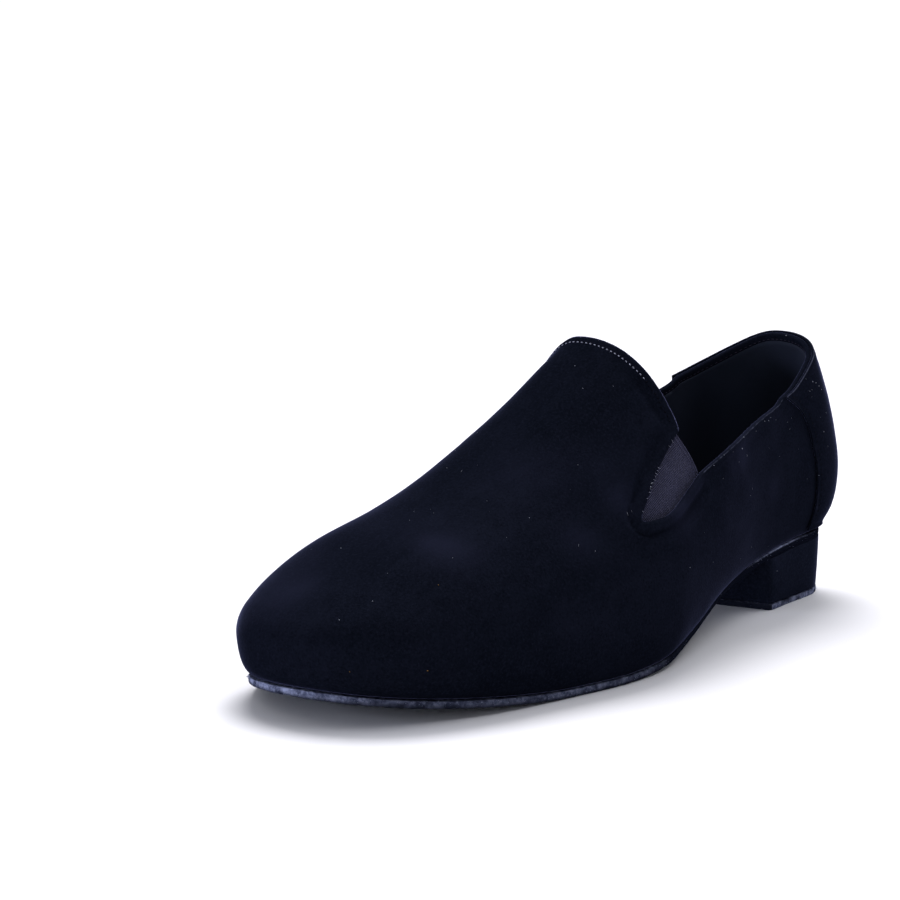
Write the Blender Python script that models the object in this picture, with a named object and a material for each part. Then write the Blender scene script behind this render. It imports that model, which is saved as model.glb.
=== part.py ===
"""A ballroom dance shoe for the left foot: a suede slip-on with an elastic gore in each side.

Metres, +Z up. The toe points to -Y and the heel to +Y, and +X is the outer side of the foot.
The last's surface is worked out from a few sizes and one short table of sections. The upper,
the counter and the gores are patches of that one surface, each with its own thickness.
"""
import math

import bmesh
import bpy
from mathutils import Vector

# Driving sizes of the last, in metres
LENGTH = 0.288              # heel seat to toe tip, along the feather line
BALL_WIDTH = 0.096          # across the feather line at the ball
INSTEP_HEIGHT = 0.1065      # floor to the crest of the tongue tab
HEEL_HEIGHT = 0.0230        # floor to the underside of the outsole at the heel seat
TOE_SPRING = 0.0066         # floor to the underside of the outsole at the toe tip

# Collar heights above the floor
COLLAR_BACK = 0.1002        # top of the back
COLLAR_SIDE = 0.0775        # quarter edge where it meets the counter
INNER_LIFT = 0.0043         # how much higher the quarter edge stands on the inner side
COLLAR_STEP = 0.0020        # how far the counter stands above the quarter edge
COLLAR_VALLEY = 0.0615      # lowest point, at the back of the gore

# Thicknesses
WALL = 0.0020               # suede and its lining
COUNTER = 0.0012            # overlay at the back
GORE = 0.0012               # elastic
SOLE = 0.0026               # suede outsole
INSOLE = 0.0030             # insole board with its sock
TOP_PIECE = 0.0022          # wear layer under the heel
GAP = 0.0003                # clearance between pieces that touch

# Other sizes that are set by themselves
SOLE_MARGIN = 0.0023        # outsole edge beyond the feather line at the toe tip
HEEL_LENGTH = 0.062         # heel seat to the heel's breast
HEEL_TAPER = 0.0007         # how far the heel's sides draw in towards the floor
HEEL_RAKE = 0.0005          # how much further its back draws in
STEP_RUN = 0.0030           # length over which the collar steps down

# Where features lie along the last, as shares of LENGTH from the heel seat
HEEL_CENTRE = 0.12          # centre of the round of the heel
VALLEY_AT = 0.472           # back end of the gore's top edge
GORE_TOP_AT = 0.492         # front end of the gore's top edge
GORE_END_AT = 0.621         # round end of the gore slot
TAB_AT = 0.482              # middle of the tongue tab's edge
TOE_START = 0.70            # from here on the sections turn round the toe
TOE_ROUND = 0.80            # where the toe's plan starts to close
TOE_CREST = 0.84            # where the crest line ends

# Angles on the sections, from 0 at the fullest line to 90 at the crest
GORE_LOW = 23.0             # lower edge of the gore slot
GORE_HIGH = 37.0            # upper edge of the gore slot
GORE_END_DEPTH = 0.024      # how far the slot's end is rounded, as a share of LENGTH
GORE_END_NARROWS = 3.5      # how much each edge of the slot closes in at its end

# One row for each section. share: distance from the heel seat, of LENGTH.
# outer, inner: feather line to either side of the axis, of BALL_WIDTH.
# bulge: how far the side stands out beyond the feather line, of BALL_WIDTH.
# belly: height of the fullest line above the feather line, of INSTEP_HEIGHT.
# crest: height of the crest above the floor, of INSTEP_HEIGHT. Behind the tab no
# crest is built, and the value sets how the sides lean in. ridge: where the crest
# lies across the axis, of BALL_WIDTH. heel, toe: rise of the outsole's underside,
# of HEEL_HEIGHT and of TOE_SPRING. edge: outsole beyond the feather line, of SOLE_MARGIN.
SECTION_COLUMNS = ("share", "outer", "inner", "bulge", "belly", "crest", "ridge", "heel", "toe", "edge")
SECTIONS = (
    (0.00, 0.262, 0.277, 0.073, 0.20, 1.10, 0.080, 1.00, 0.00, 0.65),
    (0.12, 0.262, 0.277, 0.051, 0.23, 1.22, 0.080, 0.95, 0.00, 0.45),
    (0.25, 0.310, 0.290, 0.030, 0.25, 1.28, 0.045, 0.84, 0.00, 0.0),
    (0.38, 0.382, 0.262, 0.045, 0.24, 1.18, -0.015, 0.62, 0.00, -0.3),
    (0.50, 0.470, 0.305, 0.040, 0.21, 0.969, -0.050, 0.275, 0.00, -0.2),
    (0.60, 0.530, 0.392, 0.042, 0.17, 0.790, -0.072, 0.055, 0.00, 0.1),
    (0.68, 0.528, 0.461, 0.032, 0.15, 0.665, -0.095, 0.00, 0.00, 0.25),
    (0.76, 0.485, 0.515, 0.030, 0.14, 0.562, -0.105, 0.00, 0.00, 0.4),
    (0.86, 0.424, 0.535, 0.032, 0.13, 0.477, -0.098, 0.00, 0.28, 0.7),
    (0.94, 0.365, 0.500, 0.050, 0.12, 0.395, -0.080, 0.00, 0.64, 0.7),
    (1.00, 0.328, 0.440, 0.060, 0.12, 0.360, -0.050, 0.00, 1.00, 0.5),
)

# Back of the heel. height: above the feather line there, of the collar's height above it.
# depth: from the heel's centre, of HEEL_CENTRE times LENGTH. round: exponent of the plan.
BACK_COLUMNS = ("height", "depth", "round")
BACK = (
    (0.00, 0.91, 2.2),
    (0.05, 0.96, 2.3),
    (0.14, 1.18, 2.4),
    (0.25, 1.225, 2.4),
    (0.40, 1.205, 2.3),
    (0.70, 0.97, 2.2),
    (1.00, 0.65, 2.0),
)

# Collar line from the middle of the back to the step. way: how far along it.
# outer, inner: rise on either side, 0 at the top of the step and 1 at the top of the back.
COLLAR_COLUMNS = ("way", "outer", "inner")
COLLAR = (
    (0.00, 1.00, 1.00),
    (0.15, 0.98, 0.94),
    (0.30, 0.89, 0.78),
    (0.45, 0.72, 0.56),
    (0.60, 0.49, 0.35),
    (0.75, 0.25, 0.17),
    (0.90, 0.05, 0.04),
    (1.00, 0.00, 0.00),
)

# Front edge of the counter. height: 0 at the feather line and 1 at the collar.
# outer, inner: distance from the heel seat on either side, of LENGTH.
COUNTER_COLUMNS = ("height", "outer", "inner")
COUNTER_EDGE = (
    (0.00, 0.128, 0.124),
    (0.25, 0.116, 0.114),
    (0.50, 0.121, 0.116),
    (0.75, 0.143, 0.128),
    (0.92, 0.174, 0.134),
    (1.00, 0.195, 0.141),
)

# Exponents of the curves
TOE_PLAN = 2.8              # the toe's plan
TOE_DOME = 2.5              # the toe's profile
TAB_ROUND = 3.0             # the tongue tab's edge, from the gore to its middle
HEEL_FLARE = 1.3            # the heel's profile
GORE_END_ROUND = 4.0        # how late the gore slot's edges close in

# How finely the surface is divided on each side of the shoe, along it and then upwards
BACK_STEPS = 8              # round the heel to the counter's edge
QUARTER_STEPS = 9           # from the collar's step to the gore
GORE_STEPS = 7              # along the gore slot
VAMP_STEPS = 4              # from the gore to the start of the toe
TOE_STEPS = 14              # round the toe
HEEL_STEPS = 8              # round the heel's back
HEEL_SIDE_STEPS = 3         # along each side of the heel
HEEL_LEVELS = 2             # up the heel
FINE_STEPS = 400            # for measuring the toe's feather line
TANGENT_STEP = 0.0005       # for measuring its direction, as a share of LENGTH
SHARP_ANGLE = 40.0          # edges sharper than this are shaded as edges
LOWER_ROWS = (-90.0, -66.0, -36.0, 0.0)
BELLY_ROW = len(LOWER_ROWS) - 1
COLLAR_ROW = BELLY_ROW + 5  # the collar line, and the lower edge of the gore slot
GORE_ROW = COLLAR_ROW + 4   # the upper edge of the gore slot
CREST_ROW = GORE_ROW + 7    # the crest
STEP_COLUMN = BACK_STEPS + 1
VALLEY_COLUMN = STEP_COLUMN + QUARTER_STEPS
GORE_COLUMN = VALLEY_COLUMN + GORE_STEPS
TOE_COLUMN = GORE_COLUMN + VAMP_STEPS
LAST_COLUMN = TOE_COLUMN + TOE_STEPS
MERGE = 0.0005              # points closer than this become one

MATERIALS = {
    "navy_suede": ((0.0035, 0.0042, 0.0100), 0.95, 0.0),
    "elastic": ((0.022, 0.020, 0.034), 0.80, 0.0),
    "dark_lining": ((0.004, 0.004, 0.007), 0.70, 0.0),
    "sole_suede": ((0.040, 0.050, 0.110), 0.95, 0.0),
}


def smooth(xs, ys, x, monotone=False):
    """Height of a smooth curve through (xs, ys) at x."""
    x = min(max(x, xs[0]), xs[-1])
    k = max(i for i in range(len(xs) - 1) if x >= xs[i])
    rise = [(ys[i + 1] - ys[i]) / (xs[i + 1] - xs[i]) for i in range(len(xs) - 1)]

    def slope(i):
        if i == 0 or i == len(xs) - 1:
            return rise[min(i, len(rise) - 1)]
        before = xs[i] - xs[i - 1]
        after = xs[i + 1] - xs[i]
        if monotone and rise[i - 1] * rise[i] <= 0:
            return 0.0
        if monotone:
            return 2 * rise[i - 1] * rise[i] / (rise[i - 1] + rise[i])
        return (rise[i - 1] * after + rise[i] * before) / (before + after)

    width = xs[k + 1] - xs[k]
    t = (x - xs[k]) / width
    return ((2 * t ** 3 - 3 * t ** 2 + 1) * ys[k] + (t ** 3 - 2 * t ** 2 + t) * width * slope(k)
            + (3 * t ** 2 - 2 * t ** 3) * ys[k + 1] + (t ** 3 - t ** 2) * width * slope(k + 1))


def column_of(rows, names, name):
    return [row[names.index(name)] for row in rows]


SHARES = column_of(SECTIONS, SECTION_COLUMNS, "share")


def section(name, share, monotone=False):
    """One column of the section table at a share of the length."""
    return smooth(SHARES, column_of(SECTIONS, SECTION_COLUMNS, name), share, monotone)


def mix(a, b, t):
    return a + (b - a) * t


def y_at(share):
    return LENGTH * (0.5 - share)


def sole_rise(share):
    """Height of the outsole's underside above the floor."""
    heel = HEEL_HEIGHT * section("heel", share, monotone=True)
    return heel + TOE_SPRING * section("toe", share, monotone=True)


def feather_height(share):
    return sole_rise(share) + SOLE + GAP


def round_off(t, exponent):
    """A quarter of a superellipse: 1 at t = 0, and 0 at t = 1."""
    return max(1 - min(max(t, 0.0), 1.0) ** exponent, 0.0) ** (1 / exponent)


def power(value, exponent):
    return max(value, 0.0) ** exponent


def side_name(side):
    return "outer" if side > 0 else "inner"


def half_width(side, share):
    """Feather line's distance from the axis, with its sign, before the toe closes."""
    return side * BALL_WIDTH * section(side_name(side), share)


def collar_height(side, share):
    """Height of the collar line above the floor, from the back to the gore."""
    edge = counter_edge(side, 1.0)
    quarter = COLLAR_SIDE + (INNER_LIFT if side < 0 else 0.0)
    if share <= edge:
        rise = smooth(column_of(COLLAR, COLLAR_COLUMNS, "way"),
                      column_of(COLLAR, COLLAR_COLUMNS, side_name(side)), share / edge)
        return mix(quarter + COLLAR_STEP, COLLAR_BACK, rise)
    fall = min((share - edge) * LENGTH / STEP_RUN, 1.0)
    return mix(quarter, COLLAR_VALLEY, (share - edge) / (VALLEY_AT - edge)) + COLLAR_STEP * (1 - fall)


def feather_point(side, share):
    """Feather line in plan. Below HEEL_CENTRE it runs round the heel, and at 1 it ends at the toe."""
    if share < HEEL_CENTRE:
        angle = math.radians(90) * (1 - share / HEEL_CENTRE)
        reach = LENGTH * HEEL_CENTRE * BACK[0][1]
        x = half_width(side, HEEL_CENTRE) * power(math.cos(angle), 2 / BACK[0][2])
        return Vector((x, y_at(HEEL_CENTRE) + reach * power(math.sin(angle), 2 / BACK[0][2])))
    tip = BALL_WIDTH * section("ridge", 1.0)
    closing = round_off((share - TOE_ROUND) / (1 - TOE_ROUND), TOE_PLAN)
    return Vector((mix(tip, half_width(side, share), closing), y_at(share)))


def plan_share(point):
    """Share of the length at a point, for the height of the sole and the crest there."""
    return min(max(0.5 - point.y / LENGTH, 0.0), 1.0)


def outward(side, share):
    """Direction square to the feather line in plan, away from the foot."""
    if share <= TANGENT_STEP:
        return Vector((0.0, 1.0))
    if share >= 1 - TANGENT_STEP:
        return Vector((0.0, -1.0))
    low = feather_point(side, share - TANGENT_STEP)
    high = feather_point(side, share + TANGENT_STEP)
    along = (high - low).normalized()
    return Vector((-along.y, along.x)) * side


def crest_share(share):
    """Where a section's top lies along the crest: square over, but gathered at the toe."""
    if share <= TOE_START:
        return share
    t = (share - TOE_START) / (1 - TOE_START)
    pull = (1 - TOE_START) / (TOE_CREST - TOE_START)
    return TOE_START + (TOE_CREST - TOE_START) * (1 - (1 - t) ** pull)


def back(name, height):
    """One column of the table of the back, at a share of the collar's height."""
    return smooth(column_of(BACK, BACK_COLUMNS, "height"), column_of(BACK, BACK_COLUMNS, name), height)


def surface(side, share, angle):
    """Point of the last's outer surface. The angle runs from -90 at the feather line,
    over 0 at the fullest line, to 90 at the crest."""
    turn = math.radians(angle)
    feather = feather_point(side, share)
    low = feather_height(plan_share(feather))
    belly = low + INSTEP_HEIGHT * section("belly", share)
    bulge = BALL_WIDTH * section("bulge", share)
    fullest = feather + outward(side, share) * bulge
    dome = mix(2.0, TOE_DOME, max(share - TOE_START, 0.0) / (1 - TOE_START))
    if share < HEEL_CENTRE:
        return heel_surface(side, share, turn, low, belly)
    if angle <= 0:
        plan = feather.lerp(fullest, math.cos(turn))
        return Vector((plan.x, plan.y, belly + (belly - low) * math.sin(turn)))
    top = crest_share(share)
    ridge = Vector((BALL_WIDTH * section("ridge", top), y_at(top)))
    plan = ridge.lerp(fullest, power(math.cos(turn), 2 / dome))
    crest = INSTEP_HEIGHT * section("crest", plan_share(plan))
    return Vector((plan.x, plan.y, belly + (crest - belly) * power(math.sin(turn), 2 / dome)))


def heel_surface(side, share, turn, low, belly):
    """The surface round the back, from the heel's own section and the back's profile."""
    angle = math.radians(90) * (1 - share / HEEL_CENTRE)
    base = abs(half_width(side, HEEL_CENTRE))
    wide = base + BALL_WIDTH * section("bulge", HEEL_CENTRE)
    ridge = side * BALL_WIDTH * section("ridge", HEEL_CENTRE)
    if turn <= 0:
        height = belly + (belly - low) * math.sin(turn)
        across = mix(base, wide, math.cos(turn))
    else:
        height = belly + (INSTEP_HEIGHT * section("crest", share) - belly) * math.sin(turn)
        across = mix(ridge, wide, math.cos(turn))
    level = (height - low) / (COLLAR_BACK - low)
    reach = LENGTH * HEEL_CENTRE * back("depth", level)
    curve = 2 / back("round", level)
    return Vector((side * across * power(math.cos(angle), curve),
                   y_at(HEEL_CENTRE) + reach * power(math.sin(angle), curve), height))


def angle_at(share, height):
    """Angle of the surface's section that reaches a height above the fullest line."""
    place = plan_share(feather_point(1, share))
    belly = feather_height(place) + INSTEP_HEIGHT * section("belly", share)
    crest = INSTEP_HEIGHT * section("crest", max(share, 0.0))
    return math.degrees(math.asin(min(max((height - belly) / (crest - belly), 0.0), 1.0)))


def counter_edge(side, height):
    """Share of the length at the counter's front edge, at a share of the collar's height."""
    return smooth(column_of(COUNTER_EDGE, COUNTER_COLUMNS, "height"),
                  column_of(COUNTER_EDGE, COUNTER_COLUMNS, side_name(side)), height)


def gore_top_edge(row):
    """Share of the length at the back end of the vamp: the gore's top, then the tab's edge."""
    if row <= COLLAR_ROW:
        return VALLEY_AT
    if row <= GORE_ROW:
        return mix(VALLEY_AT, GORE_TOP_AT, (row - COLLAR_ROW) / (GORE_ROW - COLLAR_ROW))
    t = (row - GORE_ROW) / (CREST_ROW - GORE_ROW)
    return mix(GORE_TOP_AT, TAB_AT, 1 - (1 - t) ** TAB_ROUND)


def gore_end(row):
    """Share of the length at the front end of the gore slot, which is rounded."""
    t = (row - COLLAR_ROW) / (GORE_ROW - COLLAR_ROW)
    return GORE_END_AT - GORE_END_DEPTH * min(abs(2 * t - 1), 1.0) ** 2


def toe_shares():
    """Shares of the length that divide the toe's feather line evenly, from TOE_START to 1."""
    quarter_turn = math.radians(90)
    shares = [mix(TOE_START, 1.0, math.sin(quarter_turn * k / FINE_STEPS)) for k in range(FINE_STEPS + 1)]
    points = [feather_point(1, share) for share in shares]
    lengths = [0.0]
    for k in range(FINE_STEPS):
        lengths.append(lengths[-1] + (points[k + 1] - points[k]).length)
    found = []
    for step in range(TOE_STEPS + 1):
        wanted = lengths[-1] * step / TOE_STEPS
        found.append(shares[min(range(FINE_STEPS + 1), key=lambda k: abs(lengths[k] - wanted))])
    return found


TOE_SHARES = toe_shares()


def grid_share(side, column, row):
    """Share of the length at a crossing of the grid."""
    edge = counter_edge(side, min(row / COLLAR_ROW, 1.0))
    step = edge + STEP_RUN / LENGTH
    if column <= BACK_STEPS:
        return edge * column / BACK_STEPS
    if column <= VALLEY_COLUMN:
        return mix(step, gore_top_edge(row), (column - STEP_COLUMN) / QUARTER_STEPS)
    if column <= GORE_COLUMN:
        return mix(gore_top_edge(row), gore_end(row), (column - VALLEY_COLUMN) / GORE_STEPS)
    if column <= TOE_COLUMN:
        return mix(gore_end(row), TOE_START, (column - GORE_COLUMN) / VAMP_STEPS)
    return TOE_SHARES[column - TOE_COLUMN]


def grid_angle(side, share, column, row):
    """Angle on the section at a crossing of the grid."""
    if row <= BELLY_ROW:
        return LOWER_ROWS[row]
    low, high = GORE_LOW, GORE_HIGH
    if column <= VALLEY_COLUMN:
        low = angle_at(min(share, VALLEY_AT), collar_height(side, min(share, VALLEY_AT)))
    elif column <= GORE_COLUMN:
        valley = angle_at(VALLEY_AT, COLLAR_VALLEY)
        way = (column - VALLEY_COLUMN) / (GORE_COLUMN - VALLEY_COLUMN)
        narrows = GORE_END_NARROWS * way ** GORE_END_ROUND
        low, high = mix(valley, GORE_LOW, way) + narrows, GORE_HIGH - narrows
    if row <= COLLAR_ROW:
        return mix(0.0, low, (row - BELLY_ROW) / (COLLAR_ROW - BELLY_ROW))
    if row <= GORE_ROW:
        return mix(low, high, (row - COLLAR_ROW) / (GORE_ROW - COLLAR_ROW))
    return mix(high, 90.0, (row - GORE_ROW) / (CREST_ROW - GORE_ROW))


def build_form():
    """The outer surface as one grid whose faces know their column and row."""
    form = bmesh.new()
    column_of_face = form.faces.layers.int.new("column")
    row_of_face = form.faces.layers.int.new("row")
    for side in (1, -1):
        corner = {}
        for column in range(LAST_COLUMN + 1):
            for row in range((CREST_ROW if column >= VALLEY_COLUMN else COLLAR_ROW) + 1):
                share = grid_share(side, column, row)
                angle = grid_angle(side, share, column, row)
                corner[column, row] = form.verts.new(surface(side, share, angle))
        for column, row in corner:
            ring = ((column, row), (column, row + 1), (column + 1, row + 1), (column + 1, row))
            if all(key in corner for key in ring):
                face = form.faces.new([corner[key] for key in ring[::side]])
                face[column_of_face] = column
                face[row_of_face] = row
    bmesh.ops.remove_doubles(form, verts=form.verts[:], dist=MERGE)
    bmesh.ops.triangulate(form, faces=form.faces[:])
    form.normal_update()
    return form


def is_slot(column, row):
    return VALLEY_COLUMN <= column < GORE_COLUMN and COLLAR_ROW <= row < GORE_ROW


def is_gore(column, row):
    return VALLEY_COLUMN <= column <= GORE_COLUMN and COLLAR_ROW - 1 <= row <= GORE_ROW


def is_counter(column, row):
    return column < BACK_STEPS and row >= 1


def shell(name, material, form, keep, inner, outer, side=0):
    """A closed wall over the form's faces that keep() names, between two distances from it."""
    columns = form.faces.layers.int["column"]
    rows = form.faces.layers.int["row"]
    faces = [f for f in form.faces if keep(f[columns], f[rows])
             and (side == 0 or f.calc_center_median().x * side > 0)]
    wall = bmesh.new()
    skins = []
    for distance in (inner, outer):
        used = {v: wall.verts.new(v.co + v.normal * distance) for f in faces for v in f.verts}
        skins.append(used)
    inside, outside = skins
    for face in faces:
        wall.faces.new([outside[v] for v in face.verts])
        wall.faces.new([inside[v] for v in reversed(face.verts)])
    chosen = set(faces)
    for face in faces:
        for loop in face.loops:
            if sum(f in chosen for f in loop.edge.link_faces) == 1:
                a, b = loop.vert, loop.link_loop_next.vert
                wall.faces.new((outside[b], outside[a], inside[a], inside[b]))
    return finish(name, material, wall)


def plate(name, material, shares, levels):
    """A piece that lies under the foot. Each level is (margin beyond the feather line,
    height), from the lowest to the highest, and both are functions of the share."""
    mesh = bmesh.new()
    rings = []
    for margin, height in levels:
        ring = {}
        for side in (1, -1):
            for k, share in enumerate(shares):
                plan = feather_point(side, share) + outward(side, share) * margin(share)
                if share in (0.0, 1.0) and side < 0:
                    ring[side, k] = ring[1, k]
                else:
                    at = plan_share(feather_point(side, share))
                    ring[side, k] = mesh.verts.new((plan.x, plan.y, height(at)))
        rings.append(ring)

    def face(*corners):
        distinct = list(dict.fromkeys(corners))
        if len(distinct) > 2:
            mesh.faces.new(distinct)

    last = len(shares) - 1
    for k in range(last):
        bottom, top = rings[0], rings[-1]
        face(bottom[1, k], bottom[1, k + 1], bottom[-1, k + 1], bottom[-1, k])
        face(top[1, k], top[-1, k], top[-1, k + 1], top[1, k + 1])
        for low, high in zip(rings, rings[1:]):
            for side in (1, -1):
                ring = (low[side, k], high[side, k], high[side, k + 1], low[side, k + 1])
                face(*ring[::side])
    if shares[last] < 1.0:
        for low, high in zip(rings, rings[1:]):
            face(low[1, last], high[1, last], high[-1, last], low[-1, last])
    return finish(name, material, mesh)


def finish(name, material, mesh):
    """Makes the object of a finished bmesh."""
    data = bpy.data.meshes.new(name)
    bmesh.ops.recalc_face_normals(mesh, faces=mesh.faces[:])
    mesh.to_mesh(data)
    mesh.free()
    data.shade_smooth()
    data.set_sharp_from_angle(angle=math.radians(SHARP_ANGLE))
    data.materials.append(bpy.data.materials[material])
    piece = bpy.data.objects.new(name, data)
    bpy.context.scene.collection.objects.link(piece)
    return piece


def make_materials():
    for name, (colour, roughness, metallic) in MATERIALS.items():
        material = bpy.data.materials.new(name)
        material.use_nodes = True
        shader = material.node_tree.nodes["Principled BSDF"]
        shader.inputs["Base Color"].default_value = (*colour, 1.0)
        shader.inputs["Roughness"].default_value = roughness
        shader.inputs["Metallic"].default_value = metallic


def make_upper(form):
    """Vamp and quarters in one: open at the collar, at the gore slots and underneath."""
    return shell("upper", "navy_suede", form, lambda c, r: not is_slot(c, r), -WALL, 0.0)


def make_counter(form):
    """Overlay round the back, from the collar down to the feather line."""
    return shell("heel_counter", "navy_suede", form, is_counter, GAP, GAP + COUNTER)


def make_gores(form):
    """Elastic behind each slot, lapped inside the upper's edges."""
    seat = WALL + GAP
    return [shell(name, "elastic", form, is_gore, -seat - GORE, -seat, side)
            for name, side in (("gore_outer", 1), ("gore_inner", -1))]


def sole_shares():
    return [grid_share(1, column, 0) for column in range(LAST_COLUMN + 1)]


def make_insole():
    """Insole board and sock in one, inside the upper's lower edge."""
    return plate("insole", "dark_lining", sole_shares(), (
        (lambda share: -WALL - GAP, feather_height),
        (lambda share: -WALL - GAP, lambda share: feather_height(share) + INSOLE)))


def sole_margin(share):
    """Outsole's edge beyond the feather line: proud at the toe, tucked in at the waist."""
    return SOLE_MARGIN * section("edge", share)


def make_outsole():
    """Full length, with the arch, the toe spring and a flat forefoot on the floor."""
    return plate("outsole", "sole_suede", sole_shares(), (
        (sole_margin, sole_rise),
        (sole_margin, lambda share: sole_rise(share) + SOLE)))


def heel_shares():
    curve = [HEEL_CENTRE * k / HEEL_STEPS for k in range(HEEL_STEPS + 1)]
    breast = HEEL_LENGTH / LENGTH
    return curve + [mix(HEEL_CENTRE, breast, (k + 1) / HEEL_SIDE_STEPS) for k in range(HEEL_SIDE_STEPS)]


def heel_margin(share, drawn):
    """Heel's edge beyond the feather line: drawn is 0 under the outsole and 1 at the floor."""
    rake = HEEL_RAKE * max(1 - (share * LENGTH / HEEL_LENGTH) ** 2, 0.0)
    return sole_margin(share) - (HEEL_TAPER + rake) * drawn ** HEEL_FLARE


def make_heel():
    """Block heel, covered in suede, with a straight breast."""
    foot = TOP_PIECE + GAP
    levels = []
    for k in range(HEEL_LEVELS + 1):
        t = k / HEEL_LEVELS
        levels.append((lambda share, t=t: heel_margin(share, 1 - t),
                       lambda share, t=t: mix(foot, sole_rise(share) - GAP, t)))
    return plate("heel", "navy_suede", heel_shares(), levels)


def make_top_piece():
    """Wear layer that the heel stands on."""
    return plate("heel_top_piece", "sole_suede", heel_shares(), (
        (lambda share: heel_margin(share, 1.0), lambda share: 0.0),
        (lambda share: heel_margin(share, 1.0), lambda share: TOP_PIECE)))


def centre(pieces):
    """Moves the shoe so that the origin is under the middle of its box."""
    points = [v.co for piece in pieces for v in piece.data.vertices]
    low = [min(p[axis] for p in points) for axis in (0, 1, 2)]
    high = [max(p[axis] for p in points) for axis in (0, 1, 2)]
    shift = Vector((-(low[0] + high[0]) / 2, -(low[1] + high[1]) / 2, -low[2]))
    for piece in pieces:
        for vertex in piece.data.vertices:
            vertex.co += shift


def build():
    for old in list(bpy.context.scene.objects):
        bpy.data.objects.remove(old)
    make_materials()
    form = build_form()
    pieces = [make_upper(form), make_counter(form), *make_gores(form), make_insole(), make_outsole(),
              make_heel(), make_top_piece()]
    form.free()
    centre(pieces)


build()
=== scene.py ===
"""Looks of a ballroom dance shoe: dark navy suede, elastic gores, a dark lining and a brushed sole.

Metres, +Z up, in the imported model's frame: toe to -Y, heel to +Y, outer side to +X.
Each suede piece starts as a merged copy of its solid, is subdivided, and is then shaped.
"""
import math
import random
from bisect import bisect
from itertools import accumulate

import bmesh
import bpy
from mathutils import Matrix, Vector, noise
from mathutils.bvhtree import BVHTree
from mathutils.kdtree import KDTree


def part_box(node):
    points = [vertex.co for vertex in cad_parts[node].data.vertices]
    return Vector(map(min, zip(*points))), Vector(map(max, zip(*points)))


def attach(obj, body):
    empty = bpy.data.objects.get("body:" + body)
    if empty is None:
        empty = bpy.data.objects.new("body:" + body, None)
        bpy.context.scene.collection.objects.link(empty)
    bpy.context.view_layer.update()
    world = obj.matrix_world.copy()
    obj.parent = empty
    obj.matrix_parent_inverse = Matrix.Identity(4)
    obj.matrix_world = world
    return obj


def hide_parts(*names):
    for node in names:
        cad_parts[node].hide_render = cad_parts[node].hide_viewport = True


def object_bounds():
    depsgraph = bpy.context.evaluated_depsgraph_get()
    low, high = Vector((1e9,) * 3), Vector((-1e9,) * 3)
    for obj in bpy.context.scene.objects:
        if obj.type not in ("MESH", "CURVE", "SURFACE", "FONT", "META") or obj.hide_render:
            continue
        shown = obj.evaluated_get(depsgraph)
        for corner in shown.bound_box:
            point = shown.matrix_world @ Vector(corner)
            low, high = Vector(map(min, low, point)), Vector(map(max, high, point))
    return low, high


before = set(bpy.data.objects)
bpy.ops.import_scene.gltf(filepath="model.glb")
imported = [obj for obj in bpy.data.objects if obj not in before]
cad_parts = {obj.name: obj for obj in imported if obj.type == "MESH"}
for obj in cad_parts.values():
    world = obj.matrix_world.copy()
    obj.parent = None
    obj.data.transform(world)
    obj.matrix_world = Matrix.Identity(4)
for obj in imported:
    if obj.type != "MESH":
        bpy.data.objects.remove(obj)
CAD_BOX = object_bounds()
MM = 0.001

# Camera: the photograph's angle to the shoe
CAMERA_AZIMUTH = 37.82
CAMERA_ELEVATION = 6.84
CAMERA_ROLL = -1.04
CAMERA_DISTANCE = 0.8665
CAMERA_TARGET = Vector((-0.0770, 0.0213, 0.0604))
CAMERA_LENS = 92.0
SENSOR = 36.0
ROOM_BACK = (-0.551, 0.714, 0.433)  # towards the bright side of the room
ROOM_DARK = 0.12            # brightness of its other side
ROOM_POWER = 1.05
PICTURE = 900.0             # width and height of the photograph, in pixels

# Soft far lights. towards: the way each one shines. angle: how wide it is, in degrees.
SUN_COLUMNS = ("name", "towards", "power", "angle", "colour")
SUNS = (
    ("key", (0.40, -0.52, -0.90), 3.1, 30.0, (1.0, 0.99, 0.98)),
    ("side", (-0.30, -0.40, -1.00), 0.8, 40.0, (0.98, 0.99, 1.0)),
    ("fill", (-0.50, 0.85, -0.06), 1.0, 60.0, (0.92, 0.96, 1.0)),
    ("rim", (0.80, 0.45, -0.10), 1.3, 20.0, (0.74, 0.80, 1.0)),
)

# Construction sizes
MERGE = 0.01 * MM
FINE = 2                    # subdivision levels of the suede pieces
EDGE_ANGLE = 50.0           # a solid's edges sharper than this are its rims
RIM_CREASE = 0.72           # 1 keeps a rim square, 0 rounds it away
SOFT_EDGE_ANGLE = 25.0      # edges of the sole and heel sharper than this keep some crease
PLATE_CREASE = 0.5
BLOCK_CREASE = 0.85
HEEL_CORNER = 2.2 * MM      # rounding of the heel's upright corners
EDGE_PITCH = 0.5 * MM       # spacing of the points that measure distances from an edge
LINING_DROP = 2.6 * MM      # suede facing that shows above the lining
LINING_THICK = 0.20 * MM
LINING_PROUD = 0.08 * MM
DRAPE_REACH = 5.0 * MM      # how far off the wall a gore's margin is looked for
DRAPE_ROUNDS = 10
FOLDED_EDGE = 1.3 * MM      # half width of the roll along a folded edge
TAB_STITCH_INSET = 3.1 * MM
TAB_STITCH_PITCH = 1.85 * MM
TAB_CREST = 92.5 * MM       # above this height the tab's stitches are pale
COLLAR_STITCH_INSET = 1.9 * MM
SEAM_SETBACK = 2.4 * MM     # channel behind the counter's front edge
SKIVED = 0.75 * MM          # how much thinner the counter is along its front and lower edges
RIB_PITCH = 0.80 * MM
RIB_WAY = (0.0, 0.935, 0.355)       # across the gore's ribs
THREAD_PITCH = 0.52 * MM
THREAD_WAY = (0.20, -0.35, 0.92)    # across the fine threads
SELVEDGE = 2.0 * MM         # distance between the two cords along a gore's free edge
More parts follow.
